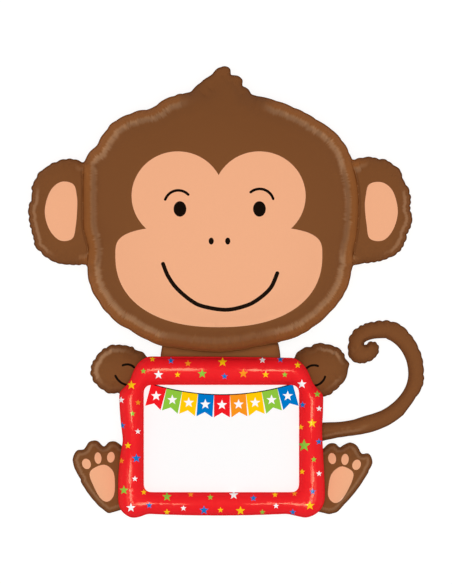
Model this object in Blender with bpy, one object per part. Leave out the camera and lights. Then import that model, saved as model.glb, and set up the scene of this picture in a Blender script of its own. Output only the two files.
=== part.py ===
# Foil balloon in the shape of a monkey that holds a write-on frame, lying on its back.
# Metres, +Z up: it lies on Z = 0, its front faces +Z and its head points to +Y.
# The film is so thin, and sealed so tightly, that each inflated envelope is one solid.
import math

import bpy
import bmesh
from mathutils import Vector

# Overall size. Outlines below are (x, y, bulge) in pixels of the reference photo.
HEIGHT = 1.015
HEIGHT_IN_PIXELS = 451.1
ORIGIN_PIXEL = (225.5, 291.5)
PIXEL = HEIGHT / HEIGHT_IN_PIXELS

# Depths, back to front, of each inflated lobe
HEAD_DEPTH = 0.280
EAR_DEPTH = 0.082
TUFT_DEPTH = 0.040
TRUNK_DEPTH = 0.120
NECK_DEPTH = 0.066
HAND_DEPTH = 0.071
FOOT_DEPTH = 0.070
TAIL_DEPTH = 0.034
TAIL_TIP_DEPTH = 0.040
FRAME_DEPTH = 0.056

# Trunk, hidden behind the frame
TRUNK_WIDTH = 0.410
TRUNK_LENGTH = 0.304
NECK_WIDTH = 0.268
NECK_LENGTH = 0.150

# Frame and its write-on panel
PANEL_WIDTH = 0.351
PANEL_LENGTH = 0.243
PANEL_CORNER = 0.016
PANEL_THICKNESS = 0.0008
SIDE_BAR = 0.0535
TOP_BAR = 0.062
BOTTOM_BAR = 0.0495

# Filling neck at the lower edge of the trunk
FILLING_WIDTH = 0.025
FILLING_LENGTH = 0.040
FILLING_THICKNESS = 0.0012
FILLING_SHOWN = 0.020

# Film edges, rests and clearances
RIM = 0.002                 # height of the sealed rim
FLAT_SHARE = 0.22           # part of the radius that lies flat on the floor
GAP = 0.0003                # clearance between separate envelopes
TAIL_SIDES = 10
TUBE_SIDES = 12

HEAD_SEAM = HEAD_DEPTH / 2
BODY_SEAM = TRUNK_DEPTH / 2
FRAME_SEAM = max(
    BODY_SEAM + HAND_DEPTH / 2 + GAP + FRAME_DEPTH / 2,
    TRUNK_DEPTH + GAP + PANEL_THICKNESS / 2,
)

# Corner points between arcs, anticlockwise. The third number is the rise of the arc
# that leads to the next corner.
HEAD_CENTRE = (221, 215)
HEAD_ARCS = [
    (220, 89.5, 1), (190.7, 92.9, 4), (151.9, 109.1, 2.4), (116.8, 120.3, 1.5),
    (104.9, 132.7, 0.8), (98.3, 144.2, 1.7), (83.6, 163, 0.5), (82.8, 210, 0.8),
    (88, 272, 2.5), (98, 300, 3.7), (130, 330, 1.2), (162.5, 346, 0.3),
    (209, 352, 1.5), (255, 347, 1), (298, 336, 2), (330, 312, 1.2),
    (347, 288, 0.5), (353, 262, 0.9), (359.2, 206, 2.2), (352, 161, 5),
    (321.7, 123.1, 4.3), (250.7, 95.2, 1),
]
TUFT_CENTRE = (222, 100)
TUFT_ARCS = [
    (240, 122, 0), (250.7, 95.2, 3.3), (241, 86.7, 0.3), (242.9, 80.4, 3),
    (229.8, 76.1, 0), (230.8, 69.2, 2.3), (218.6, 67.7, 0), (210.4, 76.3, 1.5),
    (190.7, 92.9, 0), (203, 122, 0),
]
LEFT_EAR_CENTRE = (72, 213)
LEFT_EAR_ARCS = [
    (84, 163, 4.2), (54.8, 162.6, 1.2), (45.9, 168.4, 2.4), (36.1, 178.9, 2.9),
    (32.3, 197.4, 2.3), (29, 218, 0.9), (34, 238, 2), (38, 250, 1.9),
    (59.3, 263.5, 0.6), (84.3, 264.8, 0), (112, 250, 3), (112, 178, 0),
]
RIGHT_EAR_CENTRE = (366, 212)
RIGHT_EAR_ARCS = [
    (354, 264.8, 0), (378, 261.5, 1), (398.4, 253.2, 1.5), (407.9, 232, 3.3),
    (409.7, 209, 4.3), (402, 179, 4), (393, 165.3, 2.7), (378.9, 159.2, 2.1),
    (361, 158.4, 1.3), (352, 161, 0), (328, 178, 3), (328, 250, 0),
]
LEFT_HAND_CENTRE = (122, 372)
LEFT_HAND_ARCS = [
    (146, 357, 2), (137.7, 350.8, 1.8), (124, 345.4, 5.2), (97, 355.4, 2.3),
    (90.2, 373.9, 1.9), (100.4, 388.4, 3.2), (118.8, 392.8, 0), (140, 405, 2),
    (165, 400, 3), (168, 375, 1),
]
RIGHT_HAND_CENTRE = (318, 372)
RIGHT_HAND_ARCS = [
    (323, 396.6, 1.8), (335.7, 389.8, 3.5), (347.9, 367.5, 2.2), (347.1, 360.7, 4.8),
    (326.5, 344.2, 2.7), (309.6, 346.9, 1.3), (301.8, 350, 2), (295, 358.3, 1),
    (276, 376, 3), (279, 400, 2), (303, 405, 0),
]
LEFT_FOOT_CENTRE = (100, 476)
LEFT_FOOT_ARCS = [
    (121.5, 447, 4.8), (103.7, 446.3, 6.9), (84.2, 449, 7.3), (75.3, 469.5, 2.3),
    (99.5, 506.5, 5.2), (119.3, 510, 1), (150, 502, 3), (165, 480, 2), (148, 456, 0),
]
RIGHT_FOOT_CENTRE = (342, 476)
RIGHT_FOOT_ARCS = [
    (321, 512, 5.3), (343.5, 505, 2), (371.5, 465.7, 5.5), (361, 453.4, 7),
    (340.7, 446.8, 4.3), (323.8, 449, 0), (295, 458, 2), (278, 480, 3), (293, 502, 1),
]
TAIL_TIP_CENTRE = (363, 352)
TAIL_TIP_ARCS = [
    (379.2, 349, 2.2), (373.7, 342.3, 1.5), (360, 336, 2), (348.3, 344, 1.5),
    (349.3, 357.8, 2.5), (357.4, 362.5, 1), (368.4, 362, 2), (376.5, 357, 1.5),
]
# Centre line of the tail and its half width, from the trunk to the curled tip
TAIL_LINE = [
    (285, 437, 9), (305, 434.5, 9), (322, 431.8, 8.8), (337, 430, 7.4), (352.5, 428, 7.3),
    (368, 424.2, 8.3), (385, 418.2, 7.8), (398.9, 408.5, 7.5), (409.2, 396.9, 7.5),
    (415, 384.8, 7.6), (416.7, 372, 7.8), (414.1, 357.4, 7.8), (406.7, 343.4, 8),
    (395.9, 333.6, 8.2), (384.5, 328.8, 8.9), (372.3, 330.6, 8.4), (363.6, 334.5, 8.4),
    (358, 341.8, 8), (358.5, 350, 7),
]
TRUNK_CENTRE = (221, 435)
NECK_CENTRE = (220.5, 366)
FRAME_TOP_MIDDLE = (221.4, 356.9)

# How closely arcs are divided, and the rings of an envelope as shares of its outline
HEAD_STEP = 0.026
LOBE_STEP = 0.020
FRAME_STEP = 0.019
HEAD_RINGS = (1.0, 0.985, 0.93, 0.83, 0.68, 0.47, FLAT_SHARE)
LOBE_RINGS = (1.0, 0.975, 0.88, 0.70, 0.42)
TRUNK_RINGS = (1.0, 0.97, 0.86, 0.62, FLAT_SHARE)
FILM_ROUNDNESS = 3.0        # exponent of the dome's profile
TRUNK_COUNT = 28
TRUNK_SQUARENESS = 3.2
NECK_COUNT = 20
NECK_SQUARENESS = 5


def clear_scene():
    for old in list(bpy.data.objects):
        bpy.data.objects.remove(old, do_unlink=True)


def film(name, colour, roughness):
    material = bpy.data.materials.new(name)
    material.use_nodes = True
    shader = material.node_tree.nodes["Principled BSDF"]
    shader.inputs["Base Color"].default_value = (*colour, 1)
    shader.inputs["Roughness"].default_value = roughness
    shader.inputs["Metallic"].default_value = 0.0
    return material


def at(point):
    """Turns a pixel of the photo into metres."""
    return Vector((point[0] - ORIGIN_PIXEL[0], ORIGIN_PIXEL[1] - point[1])) * PIXEL


def from_photo(points):
    """Turns (x, y, size) in pixels of the photo into metres."""
    return [(*at(point), point[2] * PIXEL) for point in points]


def arc_outline(corners, step):
    """Closed outline of shallow arcs between corner points, all in metres."""
    outline = []
    for index, corner in enumerate(corners):
        start = Vector(corner[:2])
        chord = Vector(corners[(index + 1) % len(corners)][:2]) - start
        outward = Vector((chord.y, -chord.x)).normalized()
        rise = corner[2]
        steps = max(2 if rise else 1, round(chord.length / step))
        for k in range(steps):
            t = k / steps
            outline.append(start + chord * t + outward * 4 * rise * t * (1 - t))
    return outline


def superellipse(centre, width, length, count, exponent):
    """Closed outline of a rounded rectangle without corners, in metres."""
    middle = at(centre)
    outline = []
    for k in range(count):
        angle = 2 * math.pi * k / count
        across, along = math.cos(angle), math.sin(angle)
        reach = (abs(across) ** exponent + abs(along) ** exponent) ** (-1 / exponent)
        outline.append(middle + Vector((across * width, along * length)) * reach / 2)
    return outline


def softened(outline, rounds=4):
    """The same outline with its notches smoothed away, for the inner rings."""
    soft = list(outline)
    for _ in range(rounds):
        soft = [
            (soft[k - 1] + soft[k] * 2 + soft[(k + 1) % len(soft)]) / 4
            for k in range(len(soft))
        ]
    return soft


def dome(share):
    """Height of inflated film at a share of its radius, 1 at the middle."""
    return math.sqrt(max(0.0, 1 - share ** FILM_ROUNDNESS))


def new_object(name, shell, material):
    bmesh.ops.recalc_face_normals(shell, faces=shell.faces)
    mesh = bpy.data.meshes.new(name)
    shell.to_mesh(mesh)
    shell.free()
    mesh.materials.append(material)
    mesh.shade_smooth()
    mesh.set_sharp_from_angle(angle=math.radians(50))
    made = bpy.data.objects.new(name, mesh)
    bpy.context.scene.collection.objects.link(made)
    return made


def pillow(name, outline, centre, seam, depth, rings, material, grow=0.0):
    """Two films sealed along an outline and inflated; the back is flattened at Z = 0."""
    middle = at(centre)
    soft = softened(outline)
    half = depth / 2 + grow
    swell = half / dome(FLAT_SHARE)
    shell = bmesh.new()
    loops = {1: [], -1: []}
    for share in rings:
        lift = max(dome(share), RIM / 2 / half)
        for side in (1, -1):
            loop = []
            for edge, calm in zip(outline, soft):
                spot = middle + share * (calm.lerp(edge, share ** 6) - middle)
                spot += (edge - middle).normalized() * grow
                height = half * lift if side > 0 else -min(swell * lift, seam + grow)
                loop.append(shell.verts.new((spot.x, spot.y, seam + height)))
            loops[side].append(loop)
    count = len(outline)
    for side in (1, -1):
        for outer, inner in zip(loops[side], loops[side][1:]):
            for k in range(count):
                n = (k + 1) % count
                shell.faces.new((outer[k], outer[n], inner[n], inner[k]))
        last = loops[side][-1]
        height = half if side > 0 else -min(swell, seam + grow)
        pole = shell.verts.new((middle.x, middle.y, seam + height))
        for k in range(count):
            shell.faces.new((last[k], last[(k + 1) % count], pole))
    front, back = loops[1][0], loops[-1][0]
    for k in range(count):
        n = (k + 1) % count
        shell.faces.new((front[k], front[n], back[n], back[k]))
    return new_object(name, shell, material)


def through(points, t):
    """Smooth curve through the given points (Catmull-Rom), t counted in points."""
    last = len(points) - 1
    k = min(int(t), last - 1)
    u = t - k
    a, b, c, d = (Vector(points[min(max(k + i, 0), last)]) for i in (-1, 0, 1, 2))
    return 0.5 * (
        2 * b + (c - a) * u + (2 * a - 5 * b + 4 * c - d) * u ** 2
        + (3 * b - a - 3 * c + d) * u ** 3
    )


def tail_tube(name, material):
    """Tube of changing width that follows the tail's centre line."""
    shell = bmesh.new()
    line = from_photo(TAIL_LINE)
    stations = [k / 2 for k in range(2 * len(line) - 1)]
    widest = max(point[2] for point in line)
    rings = []
    for t in stations:
        here = through(line, t)
        ahead = through(line, min(t + 0.05, len(line) - 1))
        behind = through(line, max(t - 0.05, 0))
        along = Vector((ahead.x - behind.x, ahead.y - behind.y)).normalized()
        across = Vector((-along.y, along.x))
        half_depth = TAIL_DEPTH / 2 * here.z / widest
        ring = []
        for k in range(TAIL_SIDES):
            angle = 2 * math.pi * k / TAIL_SIDES
            spot = here.xy + across * here.z * math.cos(angle)
            lift = half_depth * math.sin(angle)
            ring.append(shell.verts.new((spot.x, spot.y, BODY_SEAM + lift)))
        rings.append(ring)
    for near, far in zip(rings, rings[1:]):
        for k in range(TAIL_SIDES):
            n = (k + 1) % TAIL_SIDES
            shell.faces.new((near[k], near[n], far[n], far[k]))
    shell.faces.new(rings[0])
    shell.faces.new(rings[-1])
    return new_object(name, shell, material)


def filling_tab(name, material):
    """Flat sealed neck that the balloon is filled through."""
    low = at(TRUNK_CENTRE).y - TRUNK_LENGTH / 2 - FILLING_SHOWN
    middle = at(TRUNK_CENTRE).x
    shell = bmesh.new()
    bmesh.ops.create_cube(shell, size=1)
    for vert in shell.verts:
        vert.co.x = middle + vert.co.x * FILLING_WIDTH
        vert.co.y = low + (vert.co.y + 0.5) * FILLING_LENGTH
        vert.co.z = BODY_SEAM + vert.co.z * FILLING_THICKNESS
    return new_object(name, shell, material)


def frame_edges():
    """Sides of the frame's outer rectangle, in metres."""
    middle, top = at(FRAME_TOP_MIDDLE)
    reach = PANEL_WIDTH / 2 + SIDE_BAR
    return middle - reach, middle + reach, top - TOP_BAR - PANEL_LENGTH - BOTTOM_BAR, top


def frame_outline():
    """Outer seam of the frame: the hands press in its top corners."""
    left, right, bottom, top = frame_edges()
    corners = [
        (right - 0.064, top - 0.003, 0.001), (left + 0.061, top, 0.005),
        (left + 0.031, top - 0.034, -0.006), (left, top - 0.079, 0.002),
        (left + 0.009, top - 0.187, 0.004), (left - 0.002, bottom + 0.042, 0.012),
        (left + 0.027, bottom - 0.007, 0.003), (left + 0.061, bottom + 0.003, 0.004),
        (right - 0.080, bottom + 0.003, 0), (right - 0.039, bottom - 0.007, 0.016),
        (right + 0.003, bottom + 0.051, 0), (right - 0.004, top - 0.162, 0.001),
        (right - 0.001, top - 0.083, -0.006), (right - 0.032, top - 0.039, 0.004),
    ]
    return arc_outline(corners, FRAME_STEP)


def nearest_on_panel(spot, inset=0.0):
    """Closest point of the panel's rounded edge to a point outside it."""
    left, right, bottom, top = frame_edges()
    middle = Vector(((left + right) / 2, (bottom + BOTTOM_BAR + top - TOP_BAR) / 2))
    core = Vector((PANEL_WIDTH / 2 - PANEL_CORNER, PANEL_LENGTH / 2 - PANEL_CORNER))
    offset = spot - middle
    held = Vector((
        max(-core.x, min(core.x, offset.x)),
        max(-core.y, min(core.y, offset.y)),
    ))
    return middle + held + (offset - held).normalized() * (PANEL_CORNER - inset)


def frame_ring(name, material, grow=0.0):
    """Inflated ring between the frame's outer seam and the panel's edge."""
    shell = bmesh.new()
    rings = []
    for outer in frame_outline():
        inner = nearest_on_panel(outer)
        across = (outer - inner) / 2
        middle = (outer + inner) / 2
        fullness = math.sqrt(2 * across.length / SIDE_BAR)
        half_depth = FRAME_DEPTH / 2 * min(1.0, fullness) + grow
        ring = []
        for k in range(TUBE_SIDES):
            angle = 2 * math.pi * k / TUBE_SIDES
            spot = middle + across.normalized() * (across.length + grow) * math.cos(angle)
            lift = half_depth * math.sin(angle)
            ring.append(shell.verts.new((spot.x, spot.y, FRAME_SEAM + lift)))
        rings.append(ring)
    for near, far in zip(rings, rings[1:] + rings[:1]):
        for k in range(TUBE_SIDES):
            n = (k + 1) % TUBE_SIDES
            shell.faces.new((near[k], near[n], far[n], far[k]))
    return new_object(name, shell, material)


def panel_sheet(name, material):
    """Flat sheet that closes the frame's opening."""
    shell = bmesh.new()
    edge = []
    for outer in frame_outline():
        spot = nearest_on_panel(outer, GAP)
        if not edge or (spot - edge[-1]).length > RIM:
            edge.append(spot)
    low = FRAME_SEAM - PANEL_THICKNESS / 2
    base = shell.faces.new([shell.verts.new((spot.x, spot.y, low)) for spot in edge])
    lifted = bmesh.ops.extrude_face_region(shell, geom=[base])
    top = [item for item in lifted["geom"] if isinstance(item, bmesh.types.BMVert)]
    bmesh.ops.translate(shell, verts=top, vec=(0, 0, PANEL_THICKNESS))
    return new_object(name, shell, material)


def shape_with(target, others, operation):
    """Adds or cuts other shapes, which stay as hidden guides."""
    for other in others:
        other.hide_render = True
        other.display_type = "WIRE"
        step = target.modifiers.new(f"{operation.lower()} {other.name}", "BOOLEAN")
        step.operation = operation
        step.object = other


def build_head(material):
    head = pillow("head_balloon", arc_outline(from_photo(HEAD_ARCS), HEAD_STEP), HEAD_CENTRE,
                  HEAD_SEAM, HEAD_DEPTH, HEAD_RINGS, material)
    lobes = [
        ("tuft_lobe", TUFT_ARCS, TUFT_CENTRE, TUFT_DEPTH),
        ("left_ear_lobe", LEFT_EAR_ARCS, LEFT_EAR_CENTRE, EAR_DEPTH),
        ("right_ear_lobe", RIGHT_EAR_ARCS, RIGHT_EAR_CENTRE, EAR_DEPTH),
    ]
    shape_with(head, [
        pillow(name, arc_outline(from_photo(arcs), LOBE_STEP), centre, HEAD_SEAM, depth,
               LOBE_RINGS, material)
        for name, arcs, centre, depth in lobes
    ], "UNION")


def build_body(material):
    trunk_outline = superellipse(
        TRUNK_CENTRE, TRUNK_WIDTH, TRUNK_LENGTH, TRUNK_COUNT, TRUNK_SQUARENESS)
    neck_outline = superellipse(
        NECK_CENTRE, NECK_WIDTH, NECK_LENGTH, NECK_COUNT, NECK_SQUARENESS)
    trunk = pillow("body_balloon", trunk_outline, TRUNK_CENTRE,
                   BODY_SEAM, TRUNK_DEPTH, TRUNK_RINGS, material)
    neck = pillow("neck_lobe", neck_outline, NECK_CENTRE,
                  BODY_SEAM, NECK_DEPTH, LOBE_RINGS, material)
    lobes = [
        ("left_hand_lobe", LEFT_HAND_ARCS, LEFT_HAND_CENTRE, HAND_DEPTH),
        ("right_hand_lobe", RIGHT_HAND_ARCS, RIGHT_HAND_CENTRE, HAND_DEPTH),
        ("left_foot_lobe", LEFT_FOOT_ARCS, LEFT_FOOT_CENTRE, FOOT_DEPTH),
        ("right_foot_lobe", RIGHT_FOOT_ARCS, RIGHT_FOOT_CENTRE, FOOT_DEPTH),
        ("tail_tip_lobe", TAIL_TIP_ARCS, TAIL_TIP_CENTRE, TAIL_TIP_DEPTH),
    ]
    limbs = [
        pillow(name, arc_outline(from_photo(arcs), LOBE_STEP), centre, BODY_SEAM, depth,
               LOBE_RINGS, material)
        for name, arcs, centre, depth in lobes
    ]
    tail = tail_tube("tail_tube", material)
    shape_with(trunk, [neck, *limbs, tail, filling_tab("filling_neck", material)], "UNION")
    pressed_by_head = pillow(
        "head_clearance", arc_outline(from_photo(HEAD_ARCS), HEAD_STEP), HEAD_CENTRE,
        HEAD_SEAM, HEAD_DEPTH, HEAD_RINGS, material, grow=GAP)
    pressed_by_frame = frame_ring("frame_clearance", material, grow=GAP)
    shape_with(trunk, [pressed_by_head, pressed_by_frame], "DIFFERENCE")


def main():
    clear_scene()
    build_head(film("brown film", (0.195, 0.071, 0.022), 0.35))
    build_body(film("brown body film", (0.195, 0.071, 0.022), 0.35))
    frame_ring("frame_balloon", film("red film", (0.855, 0.017, 0.019), 0.30))
    panel_sheet("write_on_panel", film("white film", (0.95, 0.95, 0.95), 0.40))


main()
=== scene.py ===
# Monkey foil balloon: printed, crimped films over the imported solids, lit softly from all round.
# Lengths are in metres in the frame's own axes. The dictionaries hold them in mm, apart from
# the seams' heights, crimpShape and the studio. Brows, fingers and stars are pixels of the photo.
import math
import random

import bpy
import bmesh
import numpy as np
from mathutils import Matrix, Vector, geometry, kdtree
from mathutils.bvhtree import BVHTree


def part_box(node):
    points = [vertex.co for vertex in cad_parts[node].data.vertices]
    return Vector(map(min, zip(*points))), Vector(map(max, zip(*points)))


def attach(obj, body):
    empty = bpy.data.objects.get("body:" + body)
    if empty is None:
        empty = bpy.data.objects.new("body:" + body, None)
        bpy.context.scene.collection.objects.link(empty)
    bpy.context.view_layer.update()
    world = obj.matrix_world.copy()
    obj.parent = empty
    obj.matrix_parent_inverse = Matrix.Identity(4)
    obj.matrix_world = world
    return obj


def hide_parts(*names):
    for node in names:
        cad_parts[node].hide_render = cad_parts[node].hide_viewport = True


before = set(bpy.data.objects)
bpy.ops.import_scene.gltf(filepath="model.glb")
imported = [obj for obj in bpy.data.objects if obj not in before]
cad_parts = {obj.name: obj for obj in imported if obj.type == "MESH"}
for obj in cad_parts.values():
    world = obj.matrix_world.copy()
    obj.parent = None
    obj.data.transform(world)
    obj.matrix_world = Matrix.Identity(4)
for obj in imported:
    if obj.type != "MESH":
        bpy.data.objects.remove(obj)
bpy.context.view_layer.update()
scene = bpy.context.scene
mm = 0.001


def linearColour(code):  # from a six-digit screen colour
    parts = [int(code[k:k + 2], 16) / 255 for k in (0, 2, 4)]
    return tuple(((c + 0.055) / 1.055) ** 2.4 if c > 0.04045 else c / 12.92 for c in parts)


inks = {
    "brown": linearColour("7A4B29"),
    "peach": linearColour("F0AE86"),
    "black": linearColour("0A0302"),
    "red": linearColour("EE1C25"),
    "gold": linearColour("FFCB08"),
    "green": linearColour("8CC63F"),
    "blue": linearColour("0079C8"),
    "orange": linearColour("F7941E"),
    "white": linearColour("FBFBFB"),
    "paintedNeckLight": linearColour("935D35"),  # a paler brown painted on the neck: painted light that offsets the shade deep between the head and the frame
}

# The frame's origin in the photo's pixels, a pixel in mm and the picture's height in pixels
photo = {"middle": (225.5, 291.5), "pixel": 2.25, "height": 584}


def fromPhoto(spot):  # a pixel of the photo as (x, y) in mm
    return tuple((a - b) * photo["pixel"] * sign for a, b, sign in zip(spot, photo["middle"], (1, -1)))


# Outlines and closed loops, as arrays of (x, y)


def loopArea(loop):
    x, y = loop[:, 0], loop[:, 1]
    return 0.5 * float(np.sum(x * np.roll(y, -1) - np.roll(x, -1) * y))


def evenLoop(loop, step):
    closed = np.vstack([loop, loop[:1]])
    run = np.concatenate([[0], np.cumsum(np.hypot(*np.diff(closed, axis=0).T))])
    count = max(12, round(run[-1] / step))
    marks = np.linspace(0, run[-1], count, endpoint=False)
    return np.column_stack([np.interp(marks, run, closed[:, k]) for k in (0, 1)])


def calmLoop(loop, rounds):
    for _ in range(rounds):
        loop = (np.roll(loop, 1, 0) + 2 * loop + np.roll(loop, -1, 0)) / 4
    return loop


def leftNormals(loop):  # these point into the film, since outlines keep it on their left
    along = np.roll(loop, -1, 0) - np.roll(loop, 1, 0)
    along /= np.maximum(np.hypot(*along.T), 1e-9)[:, None]
    return np.column_stack([-along[:, 1], along[:, 0]])


def insideLoop(points, loop):
    inside = np.zeros(len(points), bool)
    low, high = loop.min(0), loop.max(0)
    near = np.all((points >= low) & (points <= high), axis=1)
    x, y = points[near, 0], points[near, 1]
    odd = np.zeros(len(x), bool)
    for (ax, ay), (bx, by) in zip(loop, np.roll(loop, -1, 0)):
        if ay != by:
            crosses = (ay > y) != (by > y)
            odd ^= crosses & (x < (bx - ax) * (y - ay) / (by - ay) + ax)
    inside[near] = odd
    return inside


def ovalLoop(centre, halfSize, turn=0.0, power=2.0, step=3.0):
    count = max(14, round(2 * math.pi * max(halfSize) / step))
    angles = 2 * math.pi * np.arange(count) / count
    c, s = np.cos(angles), np.sin(angles)
    reach = (np.abs(c) ** power + np.abs(s) ** power) ** (-1 / power)
    x, y = c * reach * halfSize[0], s * reach * halfSize[1]
    a = math.radians(turn)
    loop = np.column_stack([x * math.cos(a) - y * math.sin(a), x * math.sin(a) + y * math.cos(a)])
    return (loop + np.array(centre)) * mm


def smoothLine(points, perSpan, closed=False):  # through the given points
    points = np.array(points, float)
    count = len(points)
    spans = count if closed else count - 1
    line = []
    for k in range(spans):
        near = [(k + i) % count if closed else min(max(k + i, 0), count - 1) for i in (-1, 0, 1, 2)]
        a, b, c, d = points[near]
        for u in np.arange(perSpan) / perSpan:
            line.append(0.5 * (2 * b + (c - a) * u + (2 * a - 5 * b + 4 * c - d) * u ** 2
                               + (3 * b - a - 3 * c + d) * u ** 3))
    if not closed:
        line.append(points[-1])
    return np.array(line)


def strokeLoop(line, width, step=3.0):  # a pen line with round ends; line and width in mm
    along = np.gradient(line, axis=0)
    along /= np.hypot(*along.T)[:, None]
    side = np.column_stack([-along[:, 1], along[:, 0]]) * width / 2
    caps = []
    for centre, start in ((line[-1], -side[-1]), (line[0], side[0])):
        first = math.atan2(start[1], start[0])
        turns = first + np.linspace(0, math.pi, 7)[1:-1]
        caps.append(centre + np.column_stack([np.cos(turns), np.sin(turns)]) * width / 2)
    return np.vstack([line - side, caps[0], (line + side)[::-1], caps[1]]) * mm


def arcLine(centre, radius, start, end, step=3.0):
    count = max(6, round(abs(math.radians(end - start)) * radius / step))
    turns = np.radians(np.linspace(start, end, count))
    return np.array(centre) + np.column_stack([np.cos(turns), np.sin(turns)]) * radius


def arcThrough(spots):  # centre, radius, start and end of the arc through three pixels of the photo
    first, middle, last = (np.array(fromPhoto(spot)) for spot in spots)
    across = 2 * np.array([middle - first, last - first])
    squares = [spot @ spot - first @ first for spot in (middle, last)]
    centre = np.linalg.solve(across, squares)
    start, end = (math.degrees(math.atan2(y, x)) for x, y in (first - centre, last - centre))
    return centre, math.dist(first, centre), start, end


def seamLoops(node, height):  # the solid's outline at its seam, the largest loop first
    cut = bmesh.new()
    cut.from_mesh(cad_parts[node].data)
    bmesh.ops.remove_doubles(cut, verts=cut.verts, dist=1e-5)
    everything = cut.verts[:] + cut.edges[:] + cut.faces[:]
    bmesh.ops.bisect_plane(cut, geom=everything, dist=1e-7, plane_co=(0, 0, height),
                           plane_no=(0, 0, 1), clear_outer=True, clear_inner=True)
    bmesh.ops.remove_doubles(cut, verts=cut.verts, dist=2e-4)
    left, loops = set(cut.edges), []
    for edge in cut.edges[:]:
        if edge not in left:
            continue
        left.discard(edge)
        chain = [edge.verts[0], edge.verts[1]]
        while chain[-1] is not chain[0]:
            onward = [e for e in chain[-1].link_edges if e in left]
            if not onward:
                break
            left.discard(onward[0])
            chain.append(onward[0].other_vert(chain[-1]))
        loops.append(np.array([tuple(v.co.xy) for v in chain[:-1]]))
    cut.free()
    loops.sort(key=lambda loop: -abs(loopArea(loop)))
    outer, holes = loops[0], loops[1:]
    outer = outer if loopArea(outer) > 0 else outer[::-1]
    return [outer] + [hole if loopArea(hole) < 0 else hole[::-1] for hole in holes]


def calmSeams(node, height, count, rounds):  # the first loops just above a seam, evened and calmed
    loops = seamLoops(node, height + plan["aboveSeam"] * mm)[:count]
    return [calmLoop(evenLoop(loop, plan["edgeStep"] * mm), rounds) for loop in loops]


# Pleats: where the seam gathers the film, the edge is nicked and a furrow runs inwards


def stretch(at, reach, gather, sheen):
    # gather is the pitch, nick, furrow and length of the pleats in mm; sheen is the distance and half
    # width in mm of the gloss line (a coat and a painted highlight), its level, and how strongly painted
    # light brightens and warms the film outside it
    pitch, nick, furrow, length = gather
    return {"at": at, "reach": reach, "pitch": pitch, "nick": nick, "furrow": furrow,
            "length": length, "sheen": sheen}


def ruleAt(areas, spot):  # the first area that the spot is in; the last one is everywhere
    return next(a for a in areas if a["reach"] is None
                or math.dist(spot, (a["at"][0] * mm, a["at"][1] * mm)) < a["reach"] * mm)


def gatherEdge(loop, areas, seed):
    rng = random.Random(seed)
    count = len(loop)
    step = np.hypot(*(np.roll(loop, -1, 0) - loop).T)
    run = np.concatenate([[0], np.cumsum(step)])
    total, pleats, place = run[-1], [], 0.0
    nick = np.zeros(count)
    while place < total:
        spot = loop[min(int(np.searchsorted(run, place)), count - 1)]
        rules = ruleAt(areas, spot)
        pitch = rng.uniform(*rules["pitch"]) * mm
        strength = rng.uniform(0.35, 1)
        pleats.append((place, pitch, strength, rules))
        place += pitch
    for k, (place, pitch, strength, rules) in enumerate(pleats):
        following = pleats[(k + 1) % len(pleats)]
        t = (run[:-1] - place) / pitch
        near = (t >= 0) & (t < 1)
        start, end = (p[2] * p[3]["nick"] * mm for p in (pleats[k], following))
        depth = start * (1 - t[near]) ** 2 + end * t[near] ** 2
        nick[near] = depth - min(start, end) * 0.5 * np.sin(math.pi * t[near])
    return loop + leftNormals(loop) * (nick - plan["hem"] * mm)[:, None], pleats, total


def swapStretch(loop, line):  # a drawn line takes the place of the outline between its ends
    first, last = (int(np.argmin(np.hypot(*(loop - end).T))) for end in (line[0], line[-1]))
    count = len(loop)
    rest = (last + 1 + np.arange((first - last - 1) % count)) % count
    return np.vstack([line, loop[rest]])


def furrows(run, distance, pleats, total):  # how far the film sinks along each pleat
    sink = np.zeros(len(run))
    for place, pitch, strength, rules in pleats:
        away = (run - place + total / 2) % total - total / 2
        reach = rules["length"] * mm * (0.6 + 0.6 * strength)
        near = (np.abs(away) < pitch) & (distance < 5 * reach)
        t = distance[near] / reach
        across = np.exp(-(away[near] / (0.22 * pitch)) ** 2)
        sink[near] += rules["furrow"] * mm * strength * across * t * np.exp(1 - t)
    return sink


# The flat plan of a film: its triangles follow the seam, the creases and the print

plan = {
    "edgeStep": 2.8,        # mm between points along a seam
    "rows": (1.3, 2.6, 3.8, 5.6, 8.0, 10.8, 13.8, 17.2, 21.0, 25.2, 30.0),   # mm from it
    "creaseRows": (1.6, 3.4, 5.8, 8.6, 12.0, 16.0, 20.5, 25.5, 31.0),
    "fine": 6.0,            # lattice beyond the rows
    "coarse": 9.0,
    "fineReach": 60.0,
    "seal": 3.4,            # width of the flat sealed margin
    "sealHeight": 0.45,
    "hem": 1.3,             # how far the margin stands out beyond the solid's outline
    "clear": 1.2,           # no lattice point this close to a printed edge
    "aboveSeam": 0.3,       # outlines are taken this far above the seams
    "coverGap": 0.6,        # left under a film that lies on top
    "sheetGap": 0.3,        # least between the front and the back sheet
    "sheenRounds": 30,      # how often the sheen is evened out along a seam
}


def searchTree(points):
    tree = kdtree.KDTree(len(points))
    for k, (x, y) in enumerate(points):
        tree.insert((x, y, 0), k)
    tree.balance()
    return tree


def lattice(low, high, step):
    rise = step * math.sqrt(3) / 2
    rows = []
    for k, y in enumerate(np.arange(low[1], high[1], rise)):
        x = np.arange(low[0] + (k % 2) * step / 2, high[0], step)
        rows.append(np.column_stack([x, np.full(len(x), y)]))
    return np.vstack(rows)


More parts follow.
